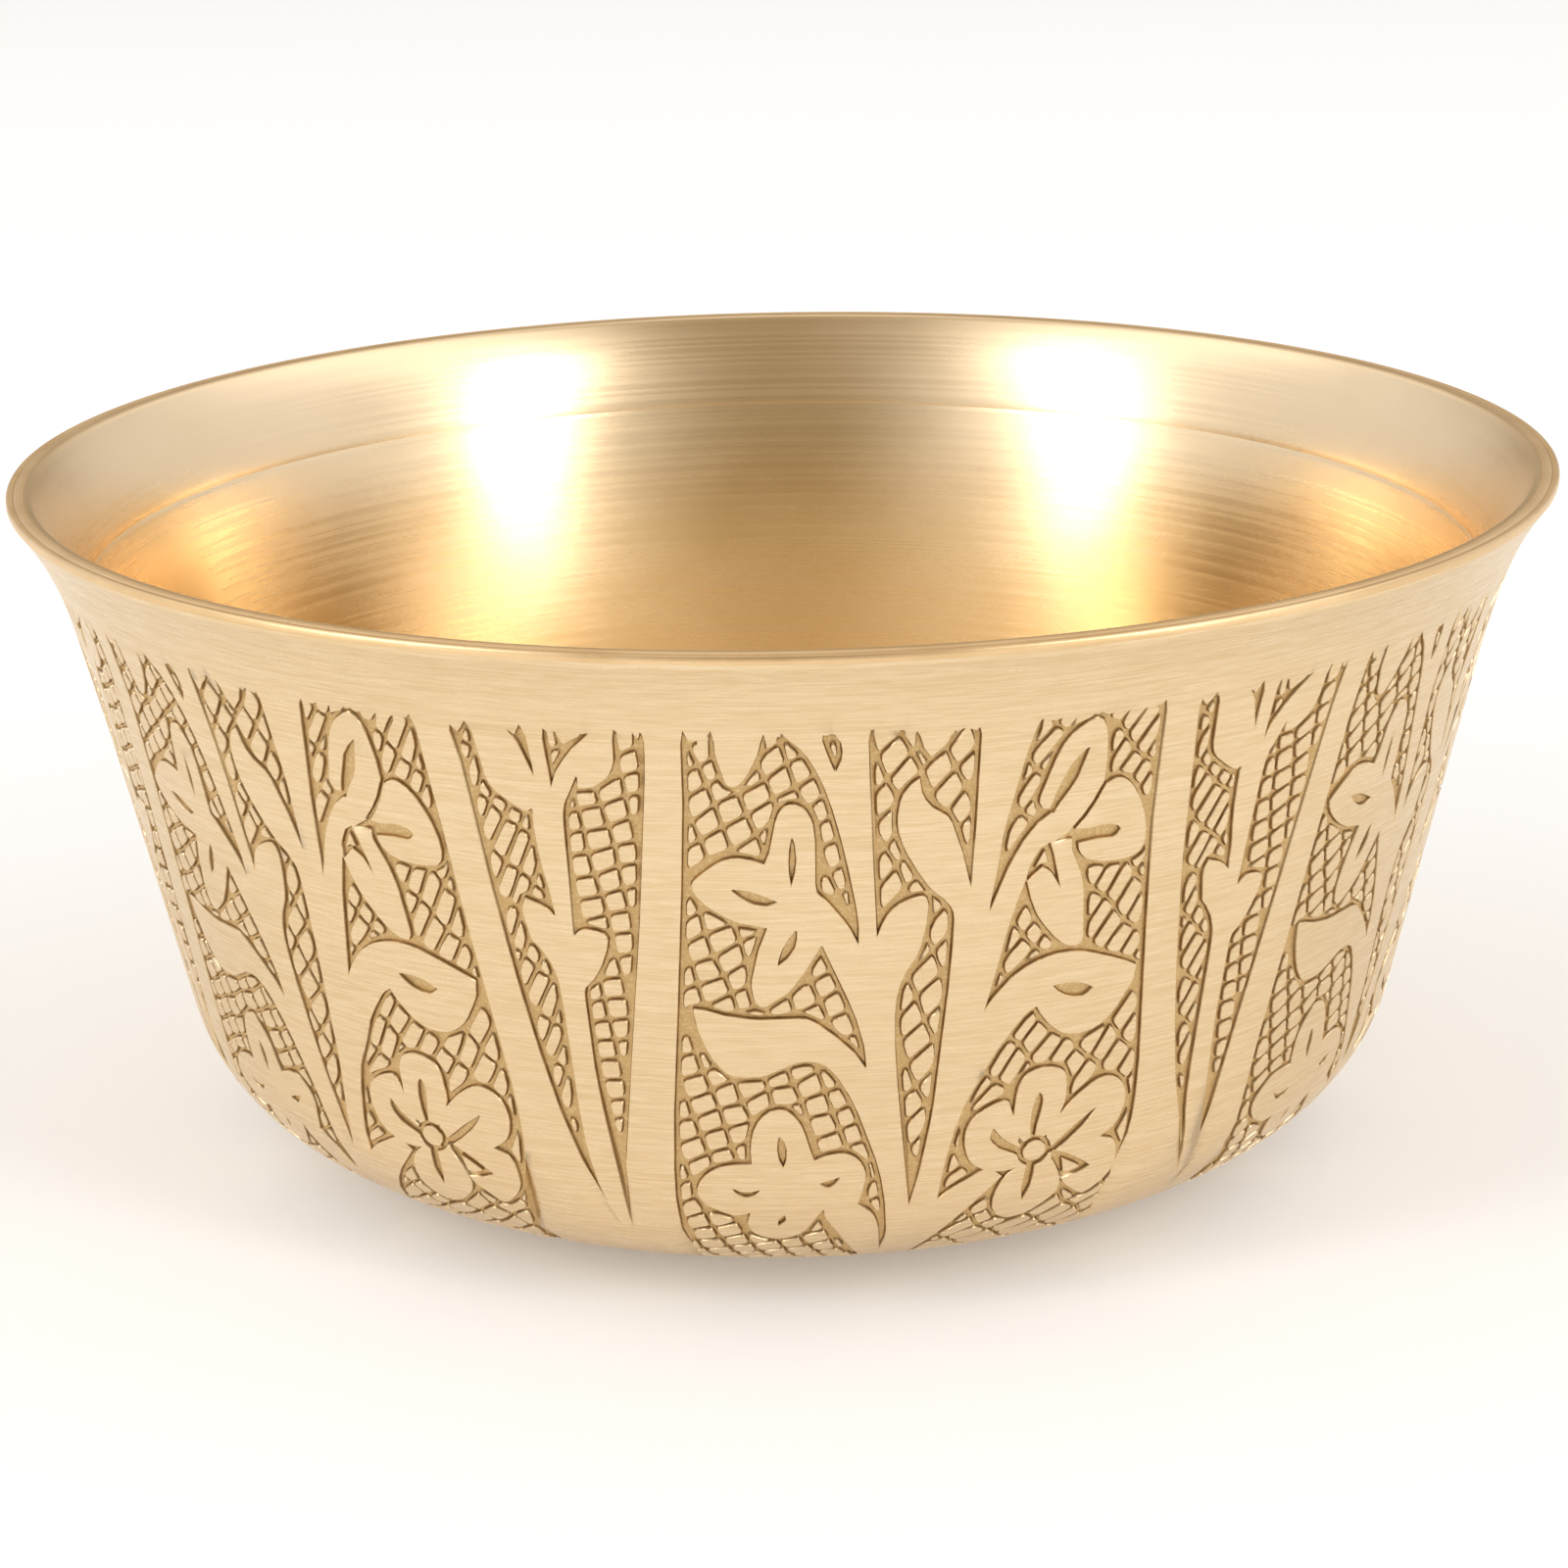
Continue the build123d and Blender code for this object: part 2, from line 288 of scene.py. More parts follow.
BLOSSOM_EYE = [
    (-0.35 + 0.76 * math.cos(a * 0.45), 43.85 + 0.66 * math.sin(a * 0.45)) for a in range(15)
]
PARTING_WIDTH = 0.34
BLOSSOM_EYE_WIDTH = 0.2

RAISED_LEAVES = [
    CURVED_LEAF, ROUND_LEAF, STRAIGHT_LEAF, LONG_LEAF,
    TOP_PETAL, LEFT_PETAL, RIGHT_PETAL, FOOT_PETAL,
]
SMALL_CUTS = [
    THORN_SPLIT, NICK, *PETAL_CUTS, *BLOSSOM_CUTS, LONG_LEAF_CUT, CURVED_LEAF_CUT,
    ROUND_LEAF_CUT, STRAIGHT_LEAF_CUT, *FLOWER_CUTS,
]

# Two crossing families of hatch lines for each panel. A family is a place that one line runs
# through, the gap between lines at the top and at the foot, how steeply they rise to the right
# (millimetres down, degrees), how much they wander, and where the wandering starts.
THORN_HATCH = (
    ((-20.2, 14.6), (1.15, 1.15), [(0, 64), (60, 66)], 0.05, 1.0),
    ((-20.67, 13.3), (2.72, 2.72), [(0, -43), (60, -43)], 0.04, 2.0),
)
LATTICE_HATCH = (
    ((-13.2, 16.1), (1.62, 1.56), [(0, 20), (20, 18), (35, 10), (60, 6)], 0.04, 3.0),
    ((-14.1, 15.2), (1.72, 1.72), [(0, -82), (60, -82)], 0.04, 4.0),
)
BLOSSOM_HATCH = (
    ((-5.56, 14.75), (1.60, 1.60), [(0, 35), (14, 32), (25, 28), (38, 22), (60, 20)], 0.05, 5.0),
    ((-6.5, 13.9), (1.86, 1.86), [(0, -73), (60, -76)], 0.04, 6.0),
)
BUD_HATCH = (
    ((9.65, 9.45), (1.60, 1.66), [(0, 53), (18, 52), (27, 49), (60, 44)], 0.04, 7.0),
    ((8.2, 8.7), (2.10, 2.35), [(0, -63), (30, -70), (60, -72)], 0.04, 8.0),
)
FLOWER_HATCH = (
    ((22.8, 10.05), (1.08, 1.70), [(0, 61), (40, 60), (47, 40), (60, 36)], 0.05, 9.0),
    ((23.52, 9.25), (2.80, 2.80), [(0, -48), (60, -48)], 0.05, 10.0),
)

# Each panel: the outlines cut away, what stays raised inside them, and its hatching.
PANELS = [
    ([THORN_STRIP, FORK_LEFT], [], THORN_HATCH),
    ([FORK_RIGHT, LATTICE_STRIP], [], LATTICE_HATCH),
    ([BLOSSOM_PANEL, TOP_CHIP], [BLOSSOM], BLOSSOM_HATCH),
    ([BUD_PANEL], [], BUD_HATCH),
    ([FLOWER_PANEL], RAISED_LEAVES, FLOWER_HATCH),
]

# ---------------------------------------------------------------- the wall's line


def wall_line():
    """Points of the outer wall from the base edge up to the lip, with the way each one faces."""
    side = 90.0 - SIDE_LEAN
    throat = side - THROAT_TURN
    lip = throat - LIP_TURN

    def arc(radius, start, end):
        a, b = math.radians(start), math.radians(end)
        return radius * (math.sin(b) - math.sin(a)), radius * (math.cos(a) - math.cos(b))

    bends = [
        arc(HEEL_RADIUS, UNDERSIDE_RISE, side),
        arc(-THROAT_RADIUS, side, throat),
        arc(-LIP_RADIUS, throat, lip),
    ]
    out = RIM_RADIUS - BASE_RADIUS - sum(b[0] for b in bends)
    up = HEIGHT - LIP_EDGE - sum(b[1] for b in bends)
    a, b = math.radians(UNDERSIDE_RISE), math.radians(side)
    det = math.cos(a) * math.sin(b) - math.cos(b) * math.sin(a)
    under = (out * math.sin(b) - up * math.cos(b)) / det
    straight = (up * math.cos(a) - out * math.sin(a)) / det
    line = []
    r, z = BASE_RADIUS, 0.0

    def run(length, heading, pieces):
        nonlocal r, z
        h = math.radians(heading)
        for k in range(pieces):
            across, rise = math.cos(h) * length * k / pieces, math.sin(h) * length * k / pieces
            line.append((r + across, z + rise, heading))
        r, z = r + math.cos(h) * length, z + math.sin(h) * length

    def curve(radius, start, end, pieces):
        nonlocal r, z
        for k in range(pieces):
            dr, dz = arc(radius, start, start + (end - start) * k / pieces)
            line.append((r + dr, z + dz, start + (end - start) * k / pieces))
        dr, dz = arc(radius, start, end)
        r, z = r + dr, z + dz

    run(under, UNDERSIDE_RISE, 30)
    curve(HEEL_RADIUS, UNDERSIDE_RISE, side, 90)
    run(straight, side, 60)
    curve(-THROAT_RADIUS, side, throat, 30)
    curve(-LIP_RADIUS, throat, lip, 50)
    line.append((r, z, lip))
    return np.array(line)


WALL_LINE = wall_line()[::-1]
WALL_STEPS = np.hypot(*np.diff(WALL_LINE[:, :2], axis=0).T)
DOWN = np.concatenate([[LIP_EDGE], LIP_EDGE + np.cumsum(WALL_STEPS)])


def wall_at(down):
    """Radius, height and facing of the outer wall, so many millimetres down from the rim."""
    return tuple(np.interp(down, DOWN, WALL_LINE[:, k]) for k in range(3))


def mm_per_degree(down):
    """How far one degree round the bowl is on the wall, so many millimetres down."""
    return np.interp(down, DOWN, WALL_LINE[:, 0]) * math.pi / 180


def seam(down):
    """Where one repeat ends, in degrees: a slanted line inside a plain stem, clear of the cuts."""
    return SEAM_AT + SEAM_SLOPE * (down - SEAM_FROM)


# ---------------------------------------------------------------- drawing the pattern


def drawn(points, pieces=5):
    """A closed outline through the points, curved except at its corners."""
    place = np.array([p[:2] for p in points], float)
    corner = [len(p) > 2 for p in points]
    count = len(points)
    steps = np.arange(pieces)[:, None] / pieces
    out = []
    for i in range(count):
        j = (i + 1) % count
        a, b = place[i], place[j]
        chord = np.hypot(*(b - a))
        leave = (b - a) * 0.8 if corner[i] else (b - place[i - 1]) / 2
        arrive = (b - a) * 0.8 if corner[j] else (place[(j + 1) % count] - a) / 2
        leave, arrive = (t * min(1.0, chord / max(np.hypot(*t), 1e-9)) for t in (leave, arrive))
        s2, s3 = steps**2, steps**3
        out.append(
            (2 * s3 - 3 * s2 + 1) * a
            + (s3 - 2 * s2 + steps) * leave
            + (3 * s2 - 2 * s3) * b
            + (s3 - s2) * arrive
        )
    return np.concatenate(out)


ROUND_FROM, ROUND_TO = -25.0, 34.5
ROUND = np.arange(ROUND_FROM, ROUND_TO, GRID_STEP / FLATTEN)
LENGTH = np.arange(BAND_TOP - 0.6, BAND_FOOT + 0.6, GRID_STEP)
SCALE = mm_per_degree(LENGTH)[:, None]


def inside_of(outline, closed=True):
    """How far inside an outline each place of the sheet is, in millimetres; negative outside."""
    near = np.full((len(LENGTH), len(ROUND)), FAR)
    ends = np.roll(outline, -1, axis=0) if closed else outline[1:]
    for a, b in zip(outline, ends):
        scale = float(mm_per_degree((a[1] + b[1]) / 2))
        r0, r1 = np.searchsorted(LENGTH, [min(a[1], b[1]) - FAR, max(a[1], b[1]) + FAR])
        reach = FAR / scale
        c0, c1 = np.searchsorted(ROUND, [min(a[0], b[0]) - reach, max(a[0], b[0]) + reach])
        if r1 <= r0 or c1 <= c0:
            continue
        x = (ROUND[None, c0:c1] - a[0]) * scale
        y = LENGTH[r0:r1, None] - a[1]
        dx, dy = (b[0] - a[0]) * scale, b[1] - a[1]
        t = np.clip((x * dx + y * dy) / max(dx * dx + dy * dy, 1e-12), 0, 1)
        gap = np.hypot(x - t * dx, y - t * dy)
        near[r0:r1, c0:c1] = np.minimum(near[r0:r1, c0:c1], gap)
    if not closed:
        return -near
    within = np.zeros(near.shape, bool)
    for row, level in enumerate(LENGTH):
        crossing = (outline[:, 1] > level) != (ends[:, 1] > level)
        a, b = outline[crossing], ends[crossing]
        for at in a[:, 0] + (level - a[:, 1]) * (b[:, 0] - a[:, 0]) / (b[:, 1] - a[:, 1]):
            within[row] ^= ROUND > at
    return np.where(within, near, -near)


def soften(a, b, radius):
    """The larger of two, with the corner between them filled by a round."""
    h = np.maximum(radius - np.abs(a - b), 0) / radius
    return np.maximum(a, b) + h * h * radius / 4


def hatching(anchor, spacing, turns, wander, seed):
    """How far inside a family of hatch lines each place of the sheet is, in millimetres."""
    at = np.interp(LENGTH, [t[0] for t in turns], [t[1] for t in turns])
    at = np.radians(at)
    gap = np.interp(LENGTH, (LENGTH[0], LENGTH[-1]), spacing)
    steps = np.cos(at) / gap
    fall = np.concatenate([[0], np.cumsum((steps[1:] + steps[:-1]) / 2 * np.diff(LENGTH))])
    fall -= np.interp(anchor[1], LENGTH, fall)
    across = (ROUND[None] - anchor[0]) * SCALE
    count = across * (np.sin(at) / gap)[:, None] + fall[:, None]
    count += wander * np.sin(ROUND[None] * 1.7 + seed + LENGTH[:, None] * 0.35)
    count += wander * 0.7 * np.sin(LENGTH[:, None] * 1.13 + seed * 2.1 - ROUND[None] * 0.6)
    thick = HATCH * (1 + 0.12 * np.sin(ROUND[None] * 2.3 + LENGTH[:, None] * 1.9 + seed))
    return thick / 2 - np.abs(count - np.round(count)) * gap[:, None]


def etched():
    """The etched sheet: how far inside a cut each place is, and how far inside a hatched panel."""
    cut = np.full((len(LENGTH), len(ROUND)), -FAR)
    panel = np.full(cut.shape, -FAR)
    for outlines, raised, hatch in PANELS:
        field = np.max([inside_of(drawn(o)) for o in outlines], axis=0)
        for leaf in raised:
            field = np.minimum(field, -inside_of(drawn(leaf)))
        lines = soften(hatching(*hatch[0]), hatching(*hatch[1]), ROUNDING)
        walls = soften(BORDER - field, lines, ROUNDING)
        cut = np.maximum(cut, np.minimum(field, walls))
        panel = np.maximum(panel, field)
    eye = np.hypot((ROUND[None] - FLOWER_EYE[0]) * SCALE, LENGTH[:, None] - FLOWER_EYE[1])
    ring = FLOWER_EYE_CUT / 2 - np.abs(eye - FLOWER_EYE_RADIUS - FLOWER_EYE_CUT / 2)
    cut = np.maximum(cut, ring)
    for shape in SMALL_CUTS:
        cut = np.maximum(cut, inside_of(drawn(shape)))
    for shape, width in [(LEAF_PARTING, PARTING_WIDTH), (BLOSSOM_EYE, BLOSSOM_EYE_WIDTH)]:
        cut = np.maximum(cut, width / 2 + inside_of(np.array(shape), closed=False))
    for chip in [LEAF_CHIP, EYE_CHIP]:
        cut = np.minimum(cut, -inside_of(drawn(chip)))
    inner = np.minimum(cut, eye - FLOWER_EYE_RADIUS)
    cut = np.where(eye < FLOWER_EYE_RADIUS, inner, cut)
    fade = np.clip((LENGTH - TOP_FADE[0]) / (TOP_FADE[1] - TOP_FADE[0]), 0, 1)[:, None]
    ragged = 0.10 * np.sin(ROUND[None] * 4.1) + 0.07 * np.sin(ROUND[None] * 9.7 + 1)
    cut = cut - 0.32 * np.clip(1 - fade + ragged * (fade < 1), 0, 1.3)
    foot = np.clip((LENGTH - FOOT_FADE[0]) / (FOOT_FADE[1] - FOOT_FADE[0]), 0, 1)[:, None]
    return cut - 0.4 * foot, panel


def outlines_at(sheet, level):
    """Closed outlines of the sheet at one level, in grid places (column, row)."""
    high = sheet > level
    near, far = high[:-1, :-1], high[1:, 1:]
    beside, below = high[:-1, 1:], high[1:, :-1]
    mixed = np.argwhere((near != beside) | (near != below) | (far != beside) | (far != below))
    joins = {}

    def between(i, j, way):
        i2, j2 = (i, j + 1) if way == 0 else (i + 1, j)
        a, b = sheet[i, j], sheet[i2, j2]
        t = (level - a) / (b - a)
        t = min(max(t, 0.02), 0.98)
        return (j + t * (j2 - j), i + t * (i2 - i))

    for i, j in mixed.tolist():
        a, b, c, d = high[i, j], high[i, j + 1], high[i + 1, j + 1], high[i + 1, j]
        top, right, foot, left = (i, j, 0), (i, j + 1, 1), (i + 1, j, 0), (i, j, 1)
        crossed = ((top, a != b), (right, b != c), (foot, c != d), (left, a != d))
        sides = [side for side, on in crossed if on]
        if len(sides) == 2:
            pairs = [sides]
        else:
            corners = sheet[i, j] + sheet[i, j + 1] + sheet[i + 1, j] + sheet[i + 1, j + 1]
            middle = corners / 4 > level
            pairs = [(top, left), (right, foot)] if middle != a else [(top, right), (left, foot)]
        for p, q in pairs:
            joins.setdefault(p, []).append(q)
            joins.setdefault(q, []).append(p)
    loops = []
    seen = set()
    for start in sorted(joins):
        if start in seen:
            continue
        loop, at, last = [], start, None
        while at not in seen:
            seen.add(at)
            loop.append(between(*at))
            nxt = [n for n in joins[at] if n != last and n not in seen]
            if not nxt:
                break
            last, at = at, nxt[0]
        loops.append(np.array(loop))
    return loops


def thinned(loop, slack):
    """A closed outline with as few points as hold it to within the slack."""
    if len(loop) < 4:
        return loop
    far = int(np.argmax(np.hypot(*(loop - loop[0]).T)))
    keep = {0, far}
    ring = np.concatenate([loop, loop[:1]])
    stack = [(0, far), (far, len(loop))]
    while stack:
        a, b = stack.pop()
        if b - a < 2:
            continue
        p, q = ring[a], ring[b]
        d = q - p
        size = max(np.hypot(*d), 1e-9)
        middle = ring[a + 1 : b] - p
        off = np.abs(middle[:, 0] * d[1] - middle[:, 1] * d[0]) / size
        if np.hypot(*d) < 1e-6:
            off = np.hypot(*middle.T)
        k = int(np.argmax(off))
        if off[k] > slack:
            keep.add(a + 1 + k)
            stack += [(a, a + 1 + k), (a + 1 + k, b)]
    return loop[sorted(k for k in keep if k < len(loop))]


def read(sheet, round_at, down_at):
    """The sheet's value at any place."""
    c = np.clip((round_at - ROUND[0]) / (ROUND[1] - ROUND[0]), 0, len(ROUND) - 1.001)
    r = np.clip((down_at - LENGTH[0]) / GRID_STEP, 0, len(LENGTH) - 1.001)
    i, j = r.astype(int), c.astype(int)
    u, v = c - j, r - i
    upper = sheet[i, j] * (1 - u) + sheet[i, j + 1] * u
    lower = sheet[i + 1, j] * (1 - u) + sheet[i + 1, j + 1] * u
    return upper * (1 - v) + lower * v


def etched_sheet():
    """One repeat of the band, flat: places, share of the depth, triangles, share of the panel."""
    cut, panel = etched()
    points, edges = [], []
    for level, slack in ((0.0, TOP_SLACK), (CUT_WALL, FLOOR_SLACK)):
        for loop in outlines_at(cut, level):
            round_at = ROUND[0] + loop[:, 0] * (ROUND[1] - ROUND[0])
            flat = np.stack([round_at * FLATTEN, LENGTH[0] + loop[:, 1] * GRID_STEP], 1)
            size = np.hypot(*(flat.max(0) - flat.min(0)))
            if len(flat) < 5 or size < SMALLEST_LOOP:
                continue
            flat = thinned(flat, slack)
            if len(flat) < 3:
                continue
            first = len(points)
            points += flat.tolist()
            edges += [(first + k, first + (k + 1) % len(flat)) for k in range(len(flat))]
    row_count = int(round((BAND_FOOT - BAND_TOP) / ROW_STEP)) + 1
    rows = np.linspace(BAND_TOP, BAND_FOOT, row_count)
    border = []
    for side in (0, 1):
        for row in rows:
            border.append((seam(row) - REPEAT * (1 - side), row))
    for row in (BAND_TOP, BAND_FOOT):
        for k in range(1, STEPS_EACH):
            border.append((seam(row) - REPEAT + REPEAT * k / STEPS_EACH, row))
    first_fill = len(points)
    points += [(a * FLATTEN, b) for a, b in border]
    fill = []
    for n, row in enumerate(rows[1:-1]):
        for k in range(STEPS_EACH):
            at = seam(row) - REPEAT + REPEAT * (k + (0.5 if n % 2 else 1.0)) / STEPS_EACH
            if 0.4 < at - (seam(row) - REPEAT) < REPEAT - 0.4:
                fill.append((at, row))
    fill = np.array(fill)
    value = read(cut, fill[:, 0], fill[:, 1])
    fill = fill[value < -FILL_CLEARANCE]
    points += [(a * FLATTEN, b) for a, b in fill]
    spots = [Vector(p) for p in points]
    verts, _, faces, came, _, _ = delaunay_2d_cdt(spots, edges, [], 0, 1e-5)
    flat = np.array([(v.x / FLATTEN, v.y) for v in verts])
    share = np.clip(read(cut, flat[:, 0], flat[:, 1]) / CUT_WALL, 0, 1)
    share = np.array([0.0 if o and min(o) >= first_fill else s for o, s in zip(came, share)])
    share[share < 0.06] = 0.0
    share[share > 0.94] = 1.0
    hatched = np.clip(read(panel, flat[:, 0], flat[:, 1]) / PANEL_EDGE, 0, 1)
    edge = np.stack([
        np.abs(flat[:, 0] - seam(flat[:, 1]) + REPEAT) < ON_EDGE,
        np.abs(flat[:, 0] - seam(flat[:, 1])) < ON_EDGE,
        np.abs(flat[:, 1] - BAND_TOP) < ON_EDGE,
        np.abs(flat[:, 1] - BAND_FOOT) < ON_EDGE,
    ])
    kept = [f for f in faces if len(f) == 3 and not edge[:, f].all(axis=1).any()]
    return flat, share, kept, hatched


# ---------------------------------------------------------------- meshes


def on_wall(round_at, down_at, depth):
    """Places in metres on the outer wall, sunk square to it by a depth in millimetres."""
    r, z, facing = wall_at(down_at)
    h = np.radians(facing)
    r, z = r - depth * np.sin(h), z + depth * np.cos(h)
    a = np.radians(round_at)
    return np.stack([r * np.sin(a), -r * np.cos(a), z], -1) * MM


def deselect():
    if bpy.context.object and bpy.context.object.mode != "OBJECT":
        bpy.ops.object.mode_set(mode="OBJECT")
    bpy.ops.object.select_all(action="DESELECT")


def take_up(piece):
    deselect()
    piece.select_set(True)
    bpy.context.view_layer.objects.active = piece


def new_piece(name, places, edges=(), faces=()):
    mesh = bpy.data.meshes.new(name)
    mesh.from_pydata(places, edges, faces)
    piece = bpy.data.objects.new(name, mesh)
    bpy.context.scene.collection.objects.link(piece)
    return piece


def etched_band(finish):
    """The etched band, one repeat wrapped round the wall and copied six times."""
    flat, share, faces, hatched = etched_sheet()
    fade = np.clip((flat[:, 1] - TOP_FADE[0] + 0.2) / 1.6, 0.35, 1)
    places = on_wall(flat[:, 0], flat[:, 1], CUT_DEPTH * share * fade)
    band = new_piece("etched_band", places.tolist(), (), faces)
    for name, values in (("etched", share), ("panel", hatched)):
        layer = band.data.attributes.new(name, "FLOAT", "POINT")
        layer.data.foreach_set("value", values.astype(np.float32))
    band.data.materials.append(finish)
    parts = [band]
    for k in range(1, REPEATS):
        copy = band.copy()
        copy.data = band.data.copy()
        copy.data.transform(Matrix.Rotation(2 * math.pi * k / REPEATS, 4, "Z"))
        bpy.context.scene.collection.objects.link(copy)
        parts.append(copy)
    return parts


def turned(name, line, finish, phase):
    """A ring of the bowl, spun from its line of (radius, height) points."""
    a = math.radians(phase)
    places = [(r * math.sin(a) * MM, -r * math.cos(a) * MM, z * MM) for r, z in line]
    piece = new_piece(name, places, [(k, k + 1) for k in range(len(line) - 1)])
    take_up(piece)
    bpy.ops.object.mode_set(mode="EDIT")
    bpy.ops.mesh.select_all(action="SELECT")
    steps, centre, upright = REPEATS * STEPS_EACH, (0, 0, 0), (0, 0, 1)
    bpy.ops.mesh.spin(steps=steps, angle=2 * math.pi, center=centre, axis=upright)
    bpy.ops.mesh.select_all(action="SELECT")
    bpy.ops.mesh.remove_doubles(threshold=WELD)
    bpy.ops.object.mode_set(mode="OBJECT")
    piece.data.materials.append(finish)
    return piece


def edge_line():
    """The rim's upright edge, with the thin turned line below it."""
    return [
        (RIM_RADIUS - 0.15, HEIGHT),
        (RIM_RADIUS - 0.045, HEIGHT - 0.045),
        (RIM_RADIUS, HEIGHT - 0.15),
        (RIM_RADIUS, HEIGHT - LIP_EDGE + 0.06),
        (RIM_RADIUS - 0.03, HEIGHT - LIP_EDGE - 0.05),
        (RIM_RADIUS - 0.19, HEIGHT - LIP_EDGE - 0.11),
    ]


def lip_line():
    """Down the outside of the lip, from the turned line to the etched band."""
    downs = np.concatenate([np.linspace(LIP_EDGE + 0.35, 4.2, 9), [BAND_TOP]])
    r, z, _ = wall_at(downs)
    return edge_line()[-1:] + list(zip(r, z))


def inside_line():
    """The inner skin from the rim's land down to the middle of the floor."""
    r, z, facing = (WALL_LINE[:, k] for k in range(3))
    h = np.radians(facing)
    r, z = r - WALL * np.sin(h), z + WALL * np.cos(h)
    rise = math.tan(math.radians(UNDERSIDE_RISE))
    foot = BASE_RADIUS - WALL * math.sin(math.radians(UNDERSIDE_RISE))
    lift = WALL * math.cos(math.radians(UNDERSIDE_RISE))
    meets = foot + (FLOOR - lift) / rise
    tangent = FLOOR_BLEND * math.tan(math.radians(UNDERSIDE_RISE) / 2)
    wall = [(a, b) for a, b in zip(r, z) if b < HEIGHT - 0.28 and a > meets + tangent]
    slope_end = meets + tangent * math.cos(math.radians(UNDERSIDE_RISE))
    floor = [(slope_end, FLOOR + (slope_end - meets) * rise)]
    for k in range(1, 5):
        a = math.radians(UNDERSIDE_RISE) * (1 - k / 4)
        out, up = FLOOR_BLEND * math.sin(a), FLOOR_BLEND * (1 - math.cos(a))
        floor.append((meets - tangent + out, FLOOR + up))
    floor += [(r0, FLOOR) for r0 in (26.0, 20.0, 14.0, 8.0, 3.0, 0.0)]
    kept = [wall[0]]
    for p, q in zip(wall[1:-1], wall[2:]):
        if math.dist(p, kept[-1]) > 1.15:
            kept.append(p)
    return kept + floor


def with_scribed_line(line, height, width, depth):
    """The line with a fine groove turned into it at a height."""
    out = []
    for p, q in zip(line[:-1], line[1:]):
        out.append(p)
        if p[1] >= height > q[1]:
            t = (p[1] - height) / (p[1] - q[1])
            m = (p[0] + (q[0] - p[0]) * t, height)
            size = math.dist(p, q)
            d = ((q[0] - p[0]) / size, (q[1] - p[1]) / size)
            n = (-d[1], d[0]) if -d[1] > 0 else (d[1], -d[0])
            out.append((m[0] - d[0] * width / 2, m[1] - d[1] * width / 2))
            out.append((m[0] + n[0] * depth, m[1] + n[1] * depth))
            out.append((m[0] + d[0] * width / 2, m[1] + d[1] * width / 2))
    return out + [line[-1]]


def land_line():
    """The flat top of the rim, with a fine turned line near its outer edge."""
    return [
        (RIM_RADIUS - 0.15, HEIGHT),
        (RIM_RADIUS - 0.5, HEIGHT),
        (RIM_RADIUS - 0.58, HEIGHT - 0.05),
        (RIM_RADIUS - 0.66, HEIGHT),
        (LAND_INNER_RADIUS + 0.35, HEIGHT),
    ]


def bead_line(inner_edge):
    """The rounded edge between the flat top of the rim and the inside."""
    return [
        (LAND_INNER_RADIUS + 0.35, HEIGHT),
        (LAND_INNER_RADIUS + 0.2, HEIGHT - 0.015),
        (LAND_INNER_RADIUS + 0.05, HEIGHT - 0.07),
        (LAND_INNER_RADIUS - 0.08, HEIGHT - 0.16),
        inner_edge,
    ]


def underside_line():
    """From the foot of the etched band round the heel to the ring that the bowl stands on."""
    downs = (BAND_FOOT, 59.0, 61.0, 63.0, 65.0, 67.0)
    return [tuple(wall_at(down)[:2]) for down in downs] + [
        (BASE_RADIUS + 0.25, 0.045),
        (BASE_RADIUS + 0.06, 0.006),
        (BASE_RADIUS - 0.15, 0.0),
    ]


def base_line():
    """The standing ring and the recess inside it, with the lathe's centre mark."""
    return [
        (BASE_RADIUS - 0.15, 0.0),
        (RECESS_RADIUS + 0.25, 0.0),
        (RECESS_RADIUS + 0.07, 0.07),
        (RECESS_RADIUS, 0.25),
        (RECESS_RADIUS, RECESS_DEPTH - 0.1),
        (RECESS_RADIUS - 0.12, RECESS_DEPTH),
        *((out, RECESS_DEPTH) for out in (20.0, 15.0, 10.0, 5.0, 1.6)),
        (1.0, RECESS_DEPTH + 0.08),
        (0.0, RECESS_DEPTH + 0.25),
    ]


def make_bowl():
    """The whole bowl as one closed mesh, joined from the etched band and the spun rings."""
    brushed = brushed_brass()
    polished = turned_brass()
    land = land_brass()
    top_phase = seam(BAND_TOP)
    foot_phase = seam(BAND_FOOT)
    inner = inside_line()
    scribed_at = HEIGHT - SCRIBED_DOWN
    scribed = with_scribed_line(inner, scribed_at, SCRIBED_WIDTH, SCRIBED_DEPTH)
    parts = etched_band(brushed)
    parts.append(turned("lip", lip_line(), brushed, top_phase))
    parts.append(turned("rim_edge", edge_line(), land, top_phase))
    parts.append(turned("rim_land", land_line(), land, top_phase))
    parts.append(turned("rim_bead", bead_line(inner[0]), polished, top_phase))
    parts.append(turned("inner_wall", scribed, polished, top_phase))
    parts.append(turned("underside", underside_line(), brushed, foot_phase))
    parts.append(turned("base", base_line(), polished, foot_phase))
    deselect()
    for part in parts:
        part.select_set(True)
    bowl = parts[0]
    bpy.context.view_layer.objects.active = bowl
    bpy.ops.object.join()
    bpy.ops.object.mode_set(mode="EDIT")
    bpy.ops.mesh.select_all(action="SELECT")
    bpy.ops.mesh.remove_doubles(threshold=WELD)
    bpy.ops.mesh.normals_make_consistent(inside=False)
    bpy.ops.object.mode_set(mode="OBJECT")
    bpy.ops.object.shade_smooth_by_angle(angle=math.radians(SMOOTH_BELOW))
    bowl.name = "engraved_bowl"
    bowl.data.name = "engraved_bowl"
    return bowl


# ---------------------------------------------------------------- finishes


